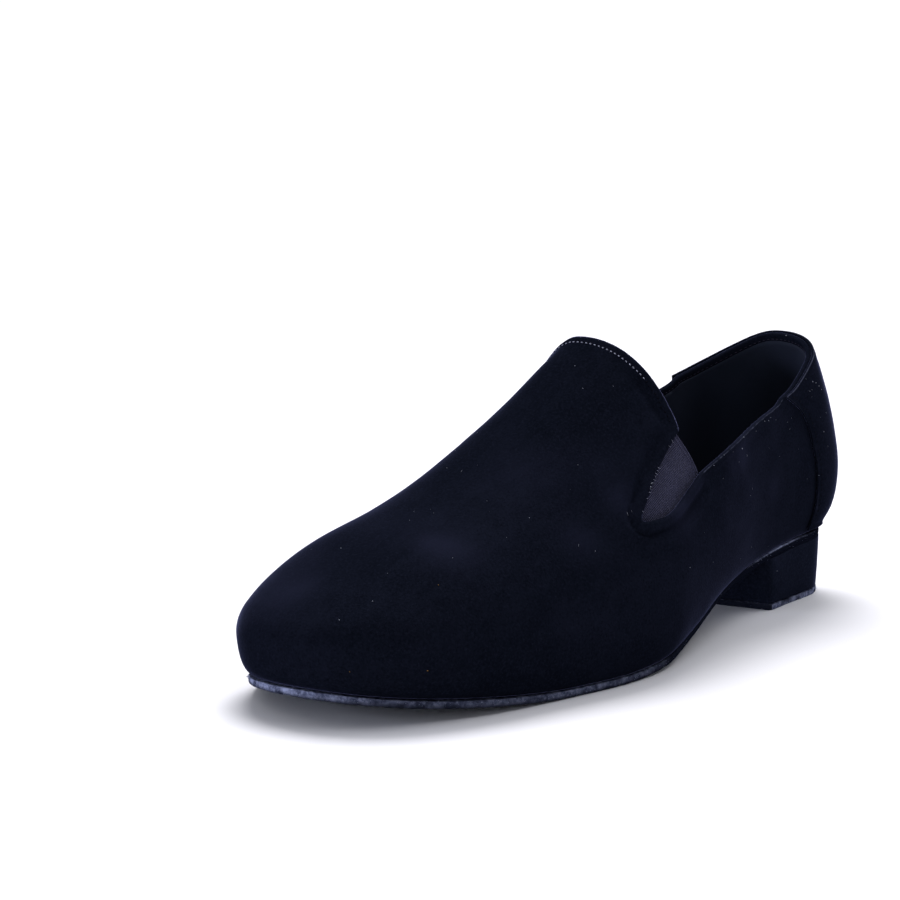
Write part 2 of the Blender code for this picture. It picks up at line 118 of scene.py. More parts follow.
STRETCH = 4.0 * MM          # along the sole, for its height at each place
NEAR_LIMIT = 10.0           # edges are looked for this far away, in millimetres
EDGE_LINE = 0.38            # width of the pale line along a worn edge, partly a painted highlight, in millimetres

# Colours, linear
SUEDE = (0.0037, 0.0048, 0.0092)
SUEDE_RUBBED = (0.0073, 0.0088, 0.0168)
SUEDE_DEEP = (0.0018, 0.0024, 0.0046)
# Pale patches of brushed nap, partly painted sheen
SUEDE_RUB_AND_SHEEN = (0.0125, 0.0140, 0.0290)
# Pale worn nap along folded edges, partly a painted highlight
EDGE_NAP_AND_HIGHLIGHT = (0.066, 0.072, 0.115)
ELASTIC = (0.037, 0.040, 0.086)
ELASTIC_DARK = (0.014, 0.014, 0.030)
ELASTIC_FLUFF = (0.085, 0.085, 0.135)
LINING = (0.0125, 0.0160, 0.0275)
LINING_WORN = (0.0180, 0.0225, 0.0390)
SOLE_NAP = (0.105, 0.122, 0.215)
SOLE_WORN = (0.400, 0.440, 0.660)
SOLE_DEEP = (0.0042, 0.0052, 0.0105)
TREAD = (0.030, 0.034, 0.052)
PALE_THREAD = (0.34, 0.35, 0.46)
DARK_THREAD = (0.004, 0.0045, 0.009)
COLLAR_THREAD = (0.040, 0.034, 0.058)
CORD = (0.075, 0.075, 0.130)
LINT = (0.30, 0.32, 0.39)
AMBER_LINT = (0.22, 0.12, 0.035)
FLOOR = (0.80, 0.80, 0.85)

# Soft troughs (depth > 0) and ridges (depth < 0) on the outer skin, in millimetres.
FOLD_COLUMNS = ("x0", "y0", "z0", "x1", "y1", "z1", "depth", "width")
FOLDS = (
    (10, -22, 79, 36, -38, 55, 0.42, 6.0),
    (2, -38, 69, 36, -56, 45, -0.30, 7.0),
    (-8, -52, 61, 34, -70, 38, 0.38, 6.5),
    (-12, -20, 80, -32, -40, 50, 0.35, 6.0),
    (-20, -50, 58, -42, -66, 30, 0.30, 6.0),
    (26, 30, 40, 30, 66, 60, 0.30, 9.0),
    (38, -30, 26, 30, 20, 32, -0.28, 8.0),
    (34, 44, 52, 28, 74, 68, -0.30, 7.0),
    (-24, 34, 44, -27, 72, 58, 0.30, 8.0),
)

# Soft paler patches of the upper: nap brushed paler, and painted sheen where light catches it. px, py: the
# middle as the photograph
# shows it, in its pixels. radius: in millimetres. strength: 0 plain, 1 palest.
RUB_AND_SHEEN_COLUMNS = ("px", "py", "radius", "strength")
RUBS_AND_SHEEN = (
    (456, 551, 9, 0.42),
    (432, 543, 6, 0.35),
    (283, 592, 13, 0.60),
    (305, 560, 12, 0.25),
    (580, 541, 7, 0.40),
    (743, 458, 6, 0.60),
    (733, 466, 5, 0.40),
    (681, 505, 8, 0.75),
    (696, 484, 6, 0.45),
    (774, 487, 5, 0.35),
    (600, 470, 14, 0.20),
    (520, 470, 13, 0.20),
    (395, 530, 15, 0.20),
    (622, 500, 6, 0.45),
)

# How pale the sole's edge is: rubbed nap, and over the heel a painted highlight. place: along the shoe, 0 at
# the toe tip and 1 at the heel.
# outer, inner: 0 dark, 1 pale and fuzzy.
EDGE_WEAR_AND_LIGHT_COLUMNS = ("place", "outer", "inner")
EDGE_WEAR_AND_LIGHT = (
    (0.000, 0.80, 0.90),
    (0.015, 0.62, 0.95),
    (0.035, 0.34, 0.80),
    (0.070, 0.24, 0.50),
    (0.100, 0.32, 0.36),
    (0.160, 0.26, 0.30),
    (0.250, 0.40, 0.36),
    (0.300, 0.32, 0.30),
    (0.360, 0.26, 0.24),
    (0.420, 0.02, 0.02),
    (0.680, 0.00, 0.00),
    (0.730, 0.60, 0.30),
    (0.790, 0.95, 0.30),
    (0.850, 0.30, 0.16),
    (0.900, 0.04, 0.04),
    (1.000, 0.04, 0.04),
)
HEEL_HIGHLIGHT_FROM = 0.66       # behind this place only the upward-facing corner of the edge is pale, a painted highlight

# Specks and threads of lint that show from the photograph's angle. px, py: where, in its pixels.
# size: in millimetres. kind: a pale or amber speck, or a short thread.
SPECK_COLUMNS = ("px", "py", "size", "kind")
SPECKS = (
    (786.4, 335.6, 0.62, "pale"), (812.5, 381.6, 0.55, "pale"), (815.7, 382.8, 0.50, "pale"),
    (818.9, 386.0, 0.50, "pale"), (821.3, 389.4, 0.50, "pale"), (812.3, 389.8, 0.75, "thread"),
    (809.5, 391.0, 0.60, "thread"), (806.0, 379.0, 0.50, "thread"), (823.7, 431.6, 0.55, "pale"),
    (818.7, 475.4, 0.48, "pale"), (827.8, 446.0, 0.34, "pale"), (825.9, 412.7, 0.30, "pale"),
    (787.4, 422.2, 0.34, "pale"), (791.5, 418.0, 0.26, "pale"), (743.6, 437.2, 0.46, "pale"),
    (742.0, 448.5, 0.50, "pale"), (768.5, 420.6, 0.40, "pale"), (764.5, 421.2, 0.40, "pale"),
    (770.5, 417.5, 0.34, "pale"), (724.0, 455.1, 0.40, "pale"), (713.7, 465.5, 0.44, "pale"),
    (723.0, 478.4, 0.30, "pale"), (779.4, 456.5, 0.34, "pale"), (747.0, 455.0, 0.60, "thread"),
    (739.0, 462.0, 0.28, "pale"), (733.0, 452.0, 0.26, "pale"), (756.0, 431.0, 0.28, "pale"),
    (689.8, 567.5, 0.40, "pale"), (713.1, 562.0, 0.32, "pale"), (776.9, 571.0, 0.44, "pale"),
    (751.6, 547.0, 0.26, "pale"), (578.7, 545.0, 0.75, "thread"), (595.3, 551.0, 0.55, "thread"),
    (627.2, 513.0, 0.90, "thread"), (631.5, 511.0, 0.60, "thread"), (455.2, 450.7, 0.34, "pale"),
    (446.9, 468.1, 0.40, "pale"), (461.3, 471.5, 0.55, "thread"), (452.5, 558.0, 0.30, "pale"),
    (372.6, 601.3, 0.46, "pale"), (339.3, 619.9, 0.40, "pale"), (427.5, 670.6, 0.60, "amber"),
    (349.8, 671.7, 0.46, "amber"), (438.6, 585.2, 0.40, "amber"), (529.3, 517.8, 0.34, "pale"),
    (577.8, 465.1, 0.30, "pale"), (582.8, 388.3, 0.30, "pale"), (575.0, 366.0, 0.34, "pale"),
    (613.3, 386.3, 0.30, "pale"), (409.5, 520.6, 0.32, "pale"), (341.0, 548.3, 0.34, "pale"),
    (487.0, 501.0, 0.28, "pale"), (506.6, 537.5, 0.26, "pale"), (477.4, 432.6, 0.30, "pale"),
    (651.4, 483.4, 0.60, "pale"), (650.6, 487.0, 0.60, "pale"), (798.5, 540.5, 1.10, "thread"),
)
LOOSE_LINT = (150, 40)      # more specks at random, on the upper and on the counter


class Shader:
    """A Principled material with short calls for the nodes that the finishes share."""

    def __init__(self, name):
        self.material = bpy.data.materials.new(name)
        self.material.use_nodes = True
        self.tree = self.material.node_tree
        self.surface = self.tree.nodes["Principled BSDF"]
        self.place = self.tree.nodes.new("ShaderNodeTexCoord").outputs["Object"]

    def set(self, **values):
        for socket, value in values.items():
            self.surface.inputs[socket.replace("_", " ")].default_value = value

    def link(self, source, target):
        self.tree.links.new(source, target)

    def stretched(self, scale, turn=(0.0, 0.0, 0.0)):
        """Object coordinates, turned and scaled, for a nap that lies one way."""
        node = self.tree.nodes.new("ShaderNodeMapping")
        node.inputs["Scale"].default_value = scale
        node.inputs["Rotation"].default_value = turn
        self.link(self.place, node.inputs["Vector"])
        return node.outputs["Vector"]

    def noise(self, scale, detail=2.0, rough=0.5, vector=None, distortion=0.0):
        node = self.tree.nodes.new("ShaderNodeTexNoise")
        node.inputs["Scale"].default_value = scale
        node.inputs["Detail"].default_value = detail
        node.inputs["Roughness"].default_value = rough
        node.inputs["Distortion"].default_value = distortion
        self.link(vector or self.place, node.inputs["Vector"])
        return node.outputs["Fac"]

    def cells(self, scale, vector=None):
        node = self.tree.nodes.new("ShaderNodeTexVoronoi")
        node.inputs["Scale"].default_value = scale
        self.link(vector or self.place, node.inputs["Vector"])
        return node.outputs["Distance"]

    def ramp(self, source, *stops):
        """Colour ramp. Each stop is (position, colour or grey)."""
        node = self.tree.nodes.new("ShaderNodeValToRGB")
        while len(node.color_ramp.elements) < len(stops):
            node.color_ramp.elements.new(0.5)
        for element, (position, colour) in zip(node.color_ramp.elements, stops):
            element.position = position
            element.color = (*colour, 1.0) if isinstance(colour, tuple) else (colour, colour, colour, 1.0)
        self.link(source, node.inputs["Fac"])
        return node.outputs["Color"]

    def mixed(self, factor, first, second, blend="MIX"):
        node = self.tree.nodes.new("ShaderNodeMix")
        node.data_type = "RGBA"
        node.blend_type = blend
        for socket, value in zip((node.inputs["Factor"], node.inputs["A"], node.inputs["B"]),
                                 (factor, first, second)):
            self.plug(value, socket)
        return node.outputs["Result"]

    def maths(self, operation, first, second=0.0):
        node = self.tree.nodes.new("ShaderNodeMath")
        node.operation = operation
        self.plug(first, node.inputs[0])
        self.plug(second, node.inputs[1])
        return node.outputs["Value"]

    def plug(self, value, socket):
        if isinstance(value, bpy.types.NodeSocket):
            self.link(value, socket)
        elif isinstance(value, tuple):
            socket.default_value = (*value, 1.0)
        else:
            socket.default_value = value

    def attribute(self, name):
        node = self.tree.nodes.new("ShaderNodeAttribute")
        node.attribute_name = name
        return node.outputs["Fac"]

    def axis(self, direction):
        """Distance along a direction, in metres."""
        node = self.tree.nodes.new("ShaderNodeVectorMath")
        node.operation = "DOT_PRODUCT"
        node.inputs[1].default_value = direction
        self.link(self.place, node.inputs[0])
        return node.outputs["Value"]

    def waves(self, direction, pitch):
        """Even waves along a direction, from -1 to 1."""
        return self.maths("SINE", self.maths("MULTIPLY", self.axis(direction), math.tau / pitch))

    def bump(self, *layers):
        """Bumps in turn, each (height, distance in metres, strength)."""
        normal = None
        for height, distance, strength in layers:
            node = self.tree.nodes.new("ShaderNodeBump")
            node.inputs["Distance"].default_value = distance
            node.inputs["Strength"].default_value = strength
            self.link(height, node.inputs["Height"])
            if normal:
                self.link(normal, node.inputs["Normal"])
            normal = node.outputs["Normal"]
        self.link(normal, self.surface.inputs["Normal"])


def suede_finish(name, painted_light_gain=1.0):
    """Short velvety nap, brushed in soft patches and rubbed paler along folded edges, with painted sheen in
    the patches, a painted highlight along the edges, painted shade in the grooves, and painted_light_gain
    for a brighter painted-light copy.
    """
    shade = Shader(name)
    plain, rubbed, deep = (tuple(painted_light_gain * c for c in colour) for colour in (SUEDE, SUEDE_RUBBED, SUEDE_DEEP))
    patches = shade.noise(17.0, 3.0, 0.55, distortion=0.6)
    strokes = shade.noise(1.0, 3.0, 0.6, shade.stretched((260.0, 90.0, 150.0), (0.3, 0.2, 0.5)))
    grain = shade.noise(1200.0, 2.0, 0.65)
    pile = shade.cells(2300.0)
    colour = shade.mixed(shade.ramp(patches, (0.40, 0.0), (0.74, 0.75)), plain, rubbed)
    colour = shade.mixed(shade.ramp(strokes, (0.34, 0.32), (0.62, 0.0)), colour, deep)
    colour = shade.mixed(shade.ramp(grain, (0.30, 0.6), (0.46, 0.0)), colour, deep)
    colour = shade.mixed(shade.ramp(grain, (0.52, 0.0), (0.72, 0.8)), colour, rubbed)
    # Paler patches: brushed nap, partly painted sheen.
    brushed = shade.maths("MULTIPLY", shade.attribute("rub_and_sheen"), shade.ramp(patches, (0.30, 0.55), (0.62, 1.0)))
    colour = shade.mixed(brushed, colour, tuple(painted_light_gain * c for c in SUEDE_RUB_AND_SHEEN))
    # Painted shade darkens the grooves along the slot and down the tab's sides.
    colour = shade.mixed(shade.attribute("painted_groove_shade"), colour, tuple(0.35 * c for c in SUEDE_DEEP))
    # Pale line along folded edges: worn nap and a painted highlight.
    nearness = shade.maths("SUBTRACT", shade.attribute("near_edge"), NEAR_LIMIT - 1.0)
    line = shade.ramp(nearness, (1.0 - EDGE_LINE, 0.0), (0.98, 1.0))
    edge = shade.maths("MULTIPLY", line, shade.ramp(grain, (0.28, 0.35), (0.62, 1.0)))
    colour = shade.mixed(edge, colour, EDGE_NAP_AND_HIGHLIGHT)
    shade.link(colour, shade.surface.inputs["Base Color"])
    shade.link(shade.ramp(strokes, (0.3, 0.98), (0.7, 0.86)), shade.surface.inputs["Roughness"])
    shade.bump((strokes, 0.12 * MM, 0.35), (grain, 0.10 * MM, 0.7), (pile, 0.05 * MM, 0.5))
    shade.set(Sheen_Weight=0.22, Sheen_Roughness=0.20, Sheen_Tint=(0.46, 0.50, 1.0, 1.0),
              Specular_IOR_Level=0.0)
    return shade.material


def elastic_finish():
    """Ribbed webbing: ribs along the free edge, with fine threads across them."""
    shade = Shader("gore webbing")
    ribs = shade.waves(RIB_WAY, RIB_PITCH)
    threads = shade.waves(THREAD_WAY, THREAD_PITCH)
    weave = shade.maths("ADD", ribs, shade.maths("MULTIPLY", threads, 0.7))
    fluff = shade.noise(900.0, 2.0, 0.6)
    worn = shade.noise(120.0, 2.0, 0.5)
    colour = shade.mixed(shade.ramp(weave, (0.0, 0.0), (0.9, 1.0)), ELASTIC_DARK, ELASTIC)
    colour = shade.mixed(shade.ramp(fluff, (0.55, 0.0), (0.80, 0.5)), colour, ELASTIC_FLUFF)
    colour = shade.mixed(shade.ramp(worn, (0.35, 0.35), (0.65, 0.0)), colour, ELASTIC_DARK)
    shade.link(colour, shade.surface.inputs["Base Color"])
    shade.bump((weave, 0.12 * MM, 0.9), (fluff, 0.06 * MM, 0.5))
    shade.set(Roughness=0.80, Sheen_Weight=0.05, Sheen_Roughness=0.5, Sheen_Tint=(0.58, 0.58, 1.0, 1.0),
              Specular_IOR_Level=0.08)
    return shade.material


def lining_finish():
    """Thin smooth textile, almost black."""
    shade = Shader("lining cloth")
    weave = shade.noise(1.0, 2.0, 0.5, shade.stretched((1800.0, 700.0, 1800.0)))
    soft = shade.noise(40.0, 2.0, 0.5)
    colour = shade.mixed(shade.ramp(soft, (0.35, 0.0), (0.7, 0.7)), LINING, LINING_WORN)
    shade.link(colour, shade.surface.inputs["Base Color"])
    shade.bump((weave, 0.05 * MM, 0.5), (soft, 0.4 * MM, 0.3))
    shade.set(Roughness=0.68, Sheen_Weight=0.03, Sheen_Tint=(0.6, 0.62, 1.0, 1.0), Specular_IOR_Level=0.05)
    return shade.material


def sole_finish():
    """Brushed split suede: its edge paler where it is rubbed, with painted shadow low on the edge and a
    painted highlight over the heel, its tread grey with use.
    """
    shade = Shader("sole suede")
    fuzz = shade.noise(700.0, 4.0, 0.7)
    clumps = shade.noise(330.0, 3.0, 0.65)
    smudges = shade.noise(30.0, 3.0, 0.6)
    pile = shade.cells(1500.0)
    lumpy = shade.ramp(shade.maths("MULTIPLY", clumps, fuzz), (0.16, 0.0), (0.36, 1.0))
    pale = shade.mixed(lumpy, SOLE_NAP, SOLE_WORN)
    # The worn attribute holds rubbed nap, painted shadow low on the edge and a painted highlight over the
    # heel.
    wear = shade.maths("MULTIPLY", shade.attribute("worn"), shade.ramp(clumps, (0.30, 0.55), (0.56, 1.0)))
    colour = shade.mixed(wear, SOLE_DEEP, pale)
    tread = shade.mixed(shade.ramp(smudges, (0.36, 0.0), (0.66, 1.0)), tuple(c * 0.45 for c in TREAD), TREAD)
    colour = shade.mixed(shade.attribute("tread"), colour, tread)
    shade.link(colour, shade.surface.inputs["Base Color"])
    shade.bump((clumps, 0.40 * MM, 0.7), (fuzz, 0.22 * MM, 0.9), (pile, 0.08 * MM, 0.5))
    shade.set(Roughness=0.95, Specular_IOR_Level=0.0)
    return shade.material


def thread_finish(name, colour):
    shade = Shader(name)
    twist = shade.noise(2600.0, 2.0, 0.6)
    dull = tuple(channel * 0.55 for channel in colour)
    shade.link(shade.mixed(shade.ramp(twist, (0.35, 0.0), (0.7, 1.0)), dull, colour),
               shade.surface.inputs["Base Color"])
    shade.bump((twist, 0.04 * MM, 0.6))
    shade.set(Roughness=0.8, Specular_IOR_Level=0.02)
    return shade.material


def add_piece(name, mesh, slot, *materials):
    """An object of a finished bmesh, riding on the shoe."""
    data = bpy.data.meshes.new(name)
    mesh.to_mesh(data)
    mesh.free()
    data.shade_smooth()
    for material in materials:
        data.materials.append(material)
    piece = bpy.data.objects.new(name, data)
    bpy.context.scene.collection.objects.link(piece)
    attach(piece, "root")
    return piece


def merged_copy(node):
    """A node's mesh with its doubles merged and its triangles joined to quads."""
    mesh = bmesh.new()
    mesh.from_mesh(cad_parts[node].data)
    bmesh.ops.remove_doubles(mesh, verts=mesh.verts[:], dist=MERGE)
    limit = math.radians(EDGE_ANGLE)
    bmesh.ops.join_triangles(mesh, faces=mesh.faces[:], angle_face_threshold=limit,
                             angle_shape_threshold=limit)
    for face in mesh.faces:
        face.material_index = 0
    return mesh


def crease_rims(mesh, crease):
    layer = mesh.edges.layers.float.new("crease_edge")
    for edge in mesh.edges:
        if edge.calc_face_angle(0.0) > math.radians(EDGE_ANGLE):
            edge[layer] = crease


def subdivided(mesh, levels):
    """The mesh after Catmull-Clark subdivision, as a new bmesh."""
    data = bpy.data.meshes.new("rough")
    mesh.to_mesh(data)
    mesh.free()
    for _ in range(3):
        data.materials.append(None)
    rough = bpy.data.objects.new("rough", data)
    bpy.context.scene.collection.objects.link(rough)
    modifier = rough.modifiers.new("fine", "SUBSURF")
    modifier.levels = levels
    modifier.render_levels = levels
    fine = bmesh.new()
    fine.from_object(rough, bpy.context.evaluated_depsgraph_get())
    bpy.data.objects.remove(rough)
    bpy.data.meshes.remove(data)
    fine.normal_update()
    return fine


OUTER, INNER, RIM = 0, 1, 2


def mark_skins(mesh):
    """Gives a wall's outer skin, inner skin and rims their own material numbers."""
    limit = math.radians(EDGE_ANGLE)
    left = set(mesh.faces)
    islands = []
    while left:
        first = left.pop()
        island, queue = [first], [first]
        while queue:
            face = queue.pop()
            for edge in face.edges:
                if edge.calc_face_angle(0.0) < limit:
                    for other in edge.link_faces:
                        if other in left:
                            left.discard(other)
                            island.append(other)
                            queue.append(other)
        islands.append(island)
    islands.sort(key=lambda island: -sum(face.calc_area() for face in island))
    middle = 0.5 * (CAD_BOX[0] + CAD_BOX[1])
    skins = islands[:2]
    skins.sort(key=lambda island: -sum(face.calc_area() * face.normal.x *
                                       (face.calc_center_median().x - middle.x) for face in island))
    for face in mesh.faces:
        face.material_index = RIM
    for number, island in zip((OUTER, INNER), skins):
        for face in island:
            face.material_index = number


def rim_loops(mesh, skin, start_at):
    """Closed rows of points where a skin meets the rims, each from its point of least start_at."""
    edges = {edge: True for edge in mesh.edges
             if {face.material_index for face in edge.link_faces} == {skin, RIM}}
    loops = []
    while edges:
        edge = next(iter(edges))
        del edges[edge]
        first, at = edge.verts
        loop = [first, at]
        while at is not first:
            onward = [e for e in at.link_edges if e in edges]
            if not onward:
                break
            del edges[onward[0]]
            at = onward[0].other_vert(at)
            loop.append(at)
        points = [v.co.copy() for v in loop[:-1]]
        start = min(range(len(points)), key=lambda i: start_at(points[i]))
        loops.append(points[start:] + points[:start] + [points[start]])
    loops.sort(key=lambda loop: -sum(p.z for p in loop) / len(loop))
    return loops


def even_points(points, pitch):
    """Points a pitch apart along a row."""
    found = [points[0].copy()]
    spare = pitch
    for a, b in zip(points, points[1:]):
        length = (b - a).length
        at = spare
        while at <= length:
            found.append(a.lerp(b, at / length))
            at += pitch
        spare = at - length
    return found


def tree_of(points):
    tree = KDTree(len(points))
    for index, point in enumerate(points):
        tree.insert(point, index)
    tree.balance()
    return tree


def bell(distance, centre, width):
    return math.exp(-((distance - centre) / width) ** 2)


def ramp_up(value, low, high):
    t = min(max((value - low) / (high - low), 0.0), 1.0)
    return t * t * (3 - 2 * t)


def collar_rows(loop):
    """Cuts the top rim's row into tab, slots, quarters and back, by side."""
    valley_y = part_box("gore_outer")[1].y - 0.5 * MM
    front_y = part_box("gore_outer")[0].y
    step_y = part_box("heel_counter")[0].y
    points = loop[:-1] if (loop[0] - loop[-1]).length < MERGE else loop
    crest = max((i for i in range(len(points)) if points[i].y < valley_y), key=lambda i: points[i].z)
    points = points[crest:] + points[:crest]
    if points[3].x < points[0].x:
        points = [points[0]] + points[:0:-1]
    back = max(range(len(points)), key=lambda i: points[i].y)
    rows = {}
    for side, row in (("outer", points[:back + 1]), ("inner", [points[0]] + points[:back - 1:-1])):
        deepest = min(range(len(row)), key=lambda i: row[i].y)
        turns = {}
        for i in range(3, deepest - 2):
            before = (row[i] - row[i - 3]).normalized()
            after = (row[i + 3] - row[i]).normalized()
            turns[i] = before.dot(after)
        corner = min(turns, key=turns.get)
        valley = next(i for i in range(deepest, len(row)) if row[i].y >= valley_y)
        step = next(i for i in range(valley, len(row)) if row[i].y >= step_y)
        rows["tab", side] = row[:corner + 1]
        rows["slot", side] = row[corner:valley + 1]
        rows["quarter", side] = row[valley:step + 1]
        rows["back", side] = row[step:]
    return rows


def edge_tree(rows, name, first, last):
    """Points along an edge on both sides, with weights that fade over a length at each end."""
    points = []
    weights = []
    for side in ("outer", "inner"):
        even = even_points(rows[name, side], EDGE_PITCH)
        for i, point in enumerate(even):
            points.append(point)
            start = ramp_up(i * EDGE_PITCH, 0.0, first) if first else 1.0
            end = ramp_up((len(even) - 1 - i) * EDGE_PITCH, 0.0, last) if last else 1.0
            weights.append(start * end)
    return tree_of(points), weights


def skin_tree(mesh, skin):
    """Search tree of one skin alone, for placing things on it."""
    part = mesh.copy()
    bmesh.ops.delete(part, geom=[f for f in part.faces if f.material_index != skin], context="FACES")
    part.normal_update()
    tree = BVHTree.FromBMesh(part)
    part.free()
    return tree


def make_upper(suede):
    """Vamp, tab and quarters: subdivided, then folds, rolled edges and slack are pushed in."""
    mesh = merged_copy("upper")
    crease_rims(mesh, RIM_CREASE)
    mark_skins(mesh)
    mesh = subdivided(mesh, FINE)
    rows = collar_rows(rim_loops(mesh, OUTER, lambda point: point.y)[0])
    inner_top = rim_loops(mesh, INNER, lambda point: point.y)[0]
    slot_edge, slot_weight = edge_tree(rows, "slot", 7 * MM, 6 * MM)
    tab_edge, tab_weight = edge_tree(rows, "tab", 0.0, 5 * MM)
    quarter_edge, quarter_weight = edge_tree(rows, "quarter", 3 * MM, 0.0)
    near_edge = mesh.verts.layers.float.new("near_edge")
    painted_groove_shade = mesh.verts.layers.float.new("painted_groove_shade")
    outer = {v for face in mesh.faces if face.material_index == OUTER for v in face.verts}
    moves = {}
    for vert in mesh.verts:
        place = vert.co
        push = 0.0
        near_slot, slot_at, slot = slot_edge.find(place)
        near_tab, tab_at, tab = tab_edge.find(place)
        _, quarter_at, quarter = quarter_edge.find(place)
        # Distance to the nearest edge, for the pale worn line with its painted highlight.
        worn = min(tab + 0.12 * MM, slot + 0.28 * MM, quarter + 0.06 * MM)
        vert[near_edge] = max(NEAR_LIMIT - worn / MM, 0.0)
        if vert in outer:
            push += soft_lumps(place) + fold_depth(place)
            if slot < 14 * MM:
                roll = 0.55 * bell(slot, FOLDED_EDGE, 1.5 * MM) + 0.50 * bell(slot, 7.4 * MM, 1.9 * MM)
                push += (roll - 0.85 * bell(slot, 4.3 * MM, 1.4 * MM)) * slot_weight[slot_at] * MM
                # Painted shade in the slot's channel.
                vert[painted_groove_shade] = 0.48 * bell(slot, 4.3 * MM, 0.65 * MM) * slot_weight[slot_at]
            if tab < 16 * MM:
                side = ramp_up(near_tab.z, 0.104, 0.090) * tab_weight[tab_at]
                push -= 0.85 * MM * bell(tab, 5.6 * MM, 2.2 * MM) * side
                # Painted shade in the valley down the tab's side.
                vert[painted_groove_shade] = max(vert[painted_groove_shade], 0.34 * bell(tab, 5.6 * MM, 1.4 * MM) * side)
                push += 0.42 * MM * bell(tab, FOLDED_EDGE, 1.3 * MM) * tab_weight[tab_at]
                push -= 0.16 * MM * bell(tab, TAB_STITCH_INSET, 0.7 * MM) * tab_weight[tab_at]
            if quarter < 10 * MM:
                roll = 0.25 * bell(quarter, FOLDED_EDGE, 1.2 * MM) - 0.18 * bell(quarter, 3.4 * MM, 1.2 * MM)
                push += roll * quarter_weight[quarter_at] * MM
        moves[vert] = vert.normal * push
    for vert, move in moves.items():
        vert.co += move
    mesh.normal_update()
    skins = {"outside": skin_tree(mesh, OUTER), "inside": skin_tree(mesh, INNER)}
    mark_rubs_and_sheen(mesh, skins["outside"])
    lining = mesh.copy()
    for face in mesh.faces:
        face.material_index = 0
    piece = add_piece("suede_upper", mesh, "navy_suede", suede)
    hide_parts("upper")
    return piece, rows, inner_top, skins, lining


def mark_rubs_and_sheen(mesh, skin):
    """Writes how pale the nap is, brushed and with painted sheen, into the attribute that the suede reads.
    """
    rub_and_sheen = mesh.verts.layers.float.new("rub_and_sheen")
    for row in RUBS_AND_SHEEN:
        patch = dict(zip(RUB_AND_SHEEN_COLUMNS, row))
        middle = skin.ray_cast(*camera_ray(patch["px"], patch["py"]))[0]
        if not middle:
            continue
        for vert in mesh.verts:
            away = (vert.co - middle).length / (patch["radius"] * MM)
            if away < 2.5:
                vert[rub_and_sheen] = min(vert[rub_and_sheen] + patch["strength"] * math.exp(-away * away), 1.0)


def soft_lumps(place):
    """Slack of the leather over the empty last."""
    return 0.20 * MM * noise.noise(place * 34.0) + 0.07 * MM * noise.noise(place * 110.0)


def fold_depth(place):
    """How far the listed folds push a point in (negative) or out."""
    push = 0.0
    for row in FOLDS:
        fold = dict(zip(FOLD_COLUMNS, row))
        start = Vector((fold["x0"], fold["y0"], fold["z0"])) * MM
        end = Vector((fold["x1"], fold["y1"], fold["z1"])) * MM
        along = end - start
        t = (place - start).dot(along) / along.length_squared
        near = start + along * min(max(t, 0.0), 1.0)
        distance = (place - near).length / MM
        if distance < 3 * fold["width"]:
            push -= fold["depth"] * MM * math.exp(-(distance / fold["width"]) ** 2)
    return push


def make_lining(shape, inner_top, cloth):
    """Cloth inside, from a few millimetres below the collar, just proud of the wall."""
    top = tree_of(even_points(inner_top, 0.5 * MM))
    bmesh.ops.delete(shape, geom=[f for f in shape.faces if f.material_index != INNER], context="FACES")
    shape.normal_update()
    far = {v: top.find(v.co) for v in shape.verts}
    drop = [f for f in shape.faces if all(far[v][2] < LINING_DROP for v in f.verts)]
    bmesh.ops.delete(shape, geom=drop, context="FACES")
    for vert in shape.verts:
        near, _, distance = far[vert]
        if vert.is_boundary and distance < 2.5 * LINING_DROP:
            vert.co = near + (vert.co - near).normalized() * LINING_DROP
    shape.normal_update()
    for face in shape.faces:
        face.material_index = 0
    for vert, height in draped_heights(shape).items():
        vert.co += vert.normal * height
    bmesh.ops.solidify(shape, geom=shape.faces[:], thickness=-LINING_THICK)
    bmesh.ops.recalc_face_normals(shape, faces=shape.faces[:])
    return add_piece("lining", shape, "dark_lining", cloth)


def draped_heights(shape):
    """How far the lining stands off the wall: it lies on it, and stretches over the gores' margins."""
    trees = []
    for side in ("outer", "inner"):
        gore = merged_copy("gore_" + side)
        trees.append(BVHTree.FromBMesh(gore))
        gore.free()
    least = {vert: LINING_PROUD for vert in shape.verts}
    for vert in shape.verts:
        for tree in trees:
            reach = tree.ray_cast(vert.co + vert.normal * DRAPE_REACH, -vert.normal, DRAPE_REACH)[3]
            if reach is not None:
                least[vert] = max(least[vert], DRAPE_REACH - reach + LINING_PROUD)
    heights = dict(least)
    around = {vert: [edge.other_vert(vert) for edge in vert.link_edges] for vert in shape.verts}
    for _ in range(DRAPE_ROUNDS):
        heights = {vert: max(least[vert], sum(heights[near] for near in around[vert]) / len(around[vert]))
                   for vert in shape.verts}
    return heights


